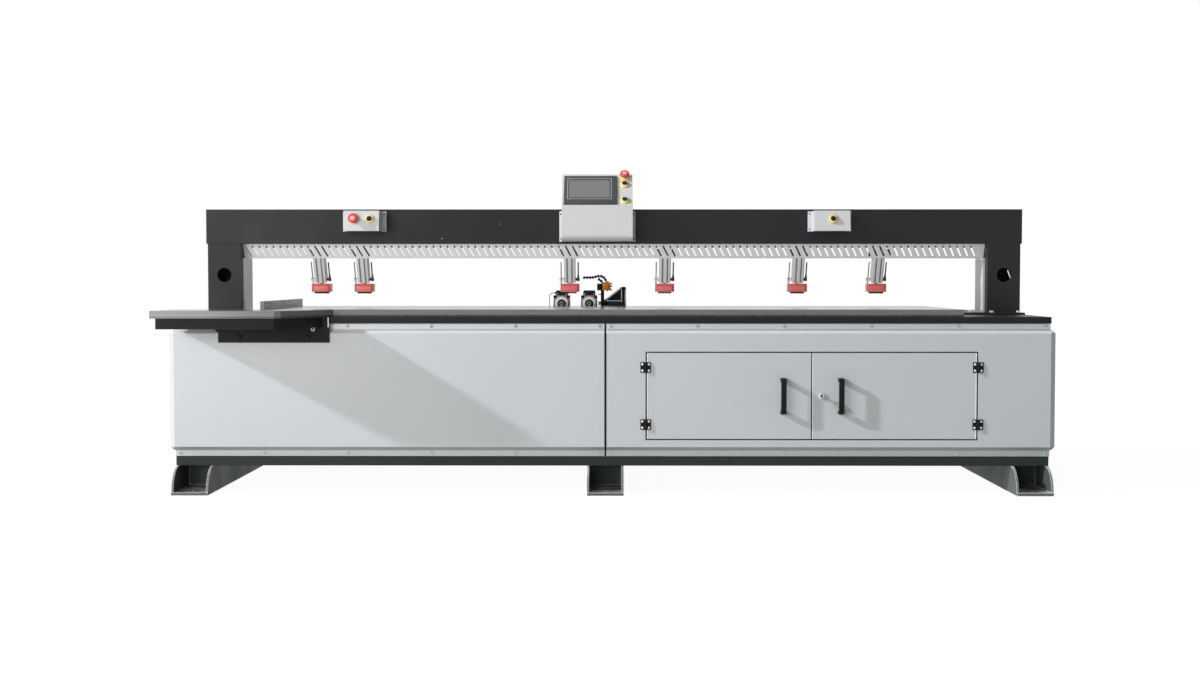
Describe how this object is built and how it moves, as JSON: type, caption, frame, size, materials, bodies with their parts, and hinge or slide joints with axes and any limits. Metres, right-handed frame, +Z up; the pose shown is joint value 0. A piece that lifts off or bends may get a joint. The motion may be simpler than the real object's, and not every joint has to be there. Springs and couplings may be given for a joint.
{
  "type": "cnc panel edge drilling machine",
  "caption": "Long floor-standing machine that drills panel edges: steel body with cabinet doors, flat table, gantry with slotted clamp rail and air clamps, rear drill carriage.",
  "frame": {"origin": "on the floor under the middle of the body's length and depth, on the middle foot's base", "axes": "+X to the operator's right along the machine, +Y away from the operator, +Z up"},
  "size_m": [3.4, 1.463, 1.267],
  "materials": {
    "cover_paint": "smooth semi-gloss paint",
    "frame_paint": "satin paint",
    "bed_paint": "satin paint",
    "gantry_paint": "fine textured paint",
    "rail_paint": "satin paint",
    "board": "smooth board",
    "aluminium": "anodised",
    "steel": "ground",
    "zinc_screws": "zinc plated",
    "black_metal": "satin black",
    "black_plastic": "moulded",
    "press_red": "gloss paint, steel rods and a dark pad",
    "yellow_plastic": "moulded",
    "red_plastic": "moulded",
    "chrome": "polished",
    "orange_plastic": "moulded",
    "navy_plastic": "moulded ball segments",
    "screen": "dark bezel and lit screen",
    "devices": "drive housings on a sheet plate"
  },
  "bodies": {
    "machine": {"floor_feet": "frame_paint", "body_frame": "frame_paint", "bed_plate": "bed_paint", "table_board": "board", "wing_board": "board", "wing_bracket": "bed_paint", "side_fence": "aluminium", "left_front_panel": "cover_paint", "right_front_panel": "cover_paint", "end_covers": "cover_paint", "rear_panels": "cover_paint", "panel_screws": "zinc_screws", "mounting_bolts": "zinc_screws", "fixed_hinges": "black_metal", "gantry_posts": "gantry_paint", "gantry_beam": "gantry_paint", "slotted_rail": "rail_paint", "clamp_barrels": "aluminium", "clamp_tubes": "black_plastic", "console_box": "rail_paint", "console_screen": "screen", "button_boxes": "rail_paint", "button_collars": "yellow_plastic", "button_rings": "chrome", "rail_beam": "frame_paint", "x_guides": "steel", "electrical_panel": "devices"},
    "door_left": {"left_door": "cover_paint", "left_door_fittings": "black_metal"},
    "door_right": {"right_door": "cover_paint", "right_door_fittings": "black_metal", "lock_barrel": "chrome"},
    "key": {"lock_key": "chrome"},
    "stop_on_console": {"console_stop": "red_plastic"},
    "stop_on_left_box": {"left_stop": "red_plastic"},
    "upper_button_on_console": {"console_upper_button": "black_plastic"},
    "lower_button_on_console": {"console_lower_button": "black_plastic"},
    "button_on_left_box": {"left_button": "black_plastic"},
    "button_on_right_box": {"right_button": "black_plastic"},
    "carriage": {"x_carriage": "aluminium", "x_servo": "black_plastic", "lift_guides": "steel", "chain_arm": "black_metal"},
    "pinion": {"drive_pinion": "steel"},
    "knee": {"knee_plate": "aluminium", "feed_guides": "steel", "valve_bracket": "black_metal", "air_valve": "orange_plastic", "air_hoses": "navy_plastic"},
    "slide": {"spindle_slide": "aluminium", "spindle_housings": "aluminium", "terminal_boxes": "black_plastic"},
    "left_spindle": {"spindle_left": "steel"},
    "right_spindle": {"spindle_right": "steel"},
    "clamp_press_1": {"press_1": "press_red"},
    "clamp_press_2": {"press_2": "press_red"},
    "clamp_press_3": {"press_3": "press_red"},
    "clamp_press_4": {"press_4": "press_red"},
    "clamp_press_5": {"press_5": "press_red"},
    "clamp_press_6": {"press_6": "press_red"}
  },
  "joints": [
    {"name": "left_door_swing", "type": "hinge", "parent": "machine", "child": "door_left", "pos_m": [0.13, -0.5673, 0.3745], "axis": [0, 0, -1], "range_deg": [0, 110]},
    {"name": "right_door_swing", "type": "hinge", "parent": "machine", "child": "door_right", "pos_m": [1.4, -0.5673, 0.3745], "axis": [0, 0, 1], "range_deg": [0, 110]},
    {"name": "key_turn", "type": "hinge", "parent": "door_right", "child": "key", "pos_m": [0.802, -0.562, 0.3745], "axis": [0, -1, 0], "range_deg": [-90, 0]},
    {"name": "carriage_travel", "type": "slide", "parent": "machine", "child": "carriage", "axis": [1, 0, 0], "range_m": [-1.1, 1.4]},
    {"name": "pinion_turn", "type": "hinge", "parent": "carriage", "child": "pinion", "pos_m": [0.0195, 0.301, 0.554], "axis": [0, 0, 1], "continuous": true},
    {"name": "head_lift", "type": "slide", "parent": "carriage", "child": "knee", "axis": [0, 0, 1], "range_m": [0, 0.04]},
    {"name": "drill_feed", "type": "slide", "parent": "knee", "child": "slide", "axis": [0, -1, 0], "range_m": [0, 0.06]},
    {"name": "left_spindle_turn", "type": "hinge", "parent": "slide", "child": "left_spindle", "pos_m": [-0.219, 0.3027, 0.714], "axis": [0, 1, 0], "continuous": true},
    {"name": "right_spindle_turn", "type": "hinge", "parent": "slide", "child": "right_spindle", "pos_m": [-0.098, 0.3027, 0.714], "axis": [0, 1, 0], "continuous": true},
    {"name": "press_1_stroke", "type": "slide", "parent": "machine", "child": "clamp_press_1", "axis": [0, 0.454, -0.891], "range_m": [0, 0.055]},
    {"name": "press_2_stroke", "type": "slide", "parent": "machine", "child": "clamp_press_2", "axis": [0, 0.454, -0.891], "range_m": [0, 0.055]},
    {"name": "press_3_stroke", "type": "slide", "parent": "machine", "child": "clamp_press_3", "axis": [0, 0.454, -0.891], "range_m": [0, 0.055]},
    {"name": "press_4_stroke", "type": "slide", "parent": "machine", "child": "clamp_press_4", "axis": [0, 0.454, -0.891], "range_m": [0, 0.055]},
    {"name": "press_5_stroke", "type": "slide", "parent": "machine", "child": "clamp_press_5", "axis": [0, 0.454, -0.891], "range_m": [0, 0.055]},
    {"name": "press_6_stroke", "type": "slide", "parent": "machine", "child": "clamp_press_6", "axis": [0, 0.454, -0.891], "range_m": [0, 0.055]},
    {"name": "stop_on_console_press", "type": "slide", "parent": "machine", "child": "stop_on_console", "axis": [0, 0.7071, -0.7071], "range_m": [0, 0.004]},
    {"name": "stop_on_left_box_press", "type": "slide", "parent": "machine", "child": "stop_on_left_box", "axis": [0, 0.9903, -0.1392], "range_m": [0, 0.004]},
    {"name": "upper_button_on_console_press", "type": "slide", "parent": "machine", "child": "upper_button_on_console", "axis": [0, 0.7071, -0.7071], "range_m": [0, 0.003], "stiffness_N_per_m": 800, "springref_m": -0.001},
    {"name": "lower_button_on_console_press", "type": "slide", "parent": "machine", "child": "lower_button_on_console", "axis": [0, 0.7071, -0.7071], "range_m": [0, 0.003], "stiffness_N_per_m": 800, "springref_m": -0.001},
    {"name": "button_on_left_box_press", "type": "slide", "parent": "machine", "child": "button_on_left_box", "axis": [0, 0.9903, -0.1392], "range_m": [0, 0.003], "stiffness_N_per_m": 800, "springref_m": -0.001},
    {"name": "button_on_right_box_press", "type": "slide", "parent": "machine", "child": "button_on_right_box", "axis": [0, 0.9903, -0.1392], "range_m": [0, 0.003], "stiffness_N_per_m": 800, "springref_m": -0.001}
  ],
  "couplings": [
    {"joint": "pinion_turn", "follows": "carriage_travel", "rad_per_m": 44.444}
  ]
}
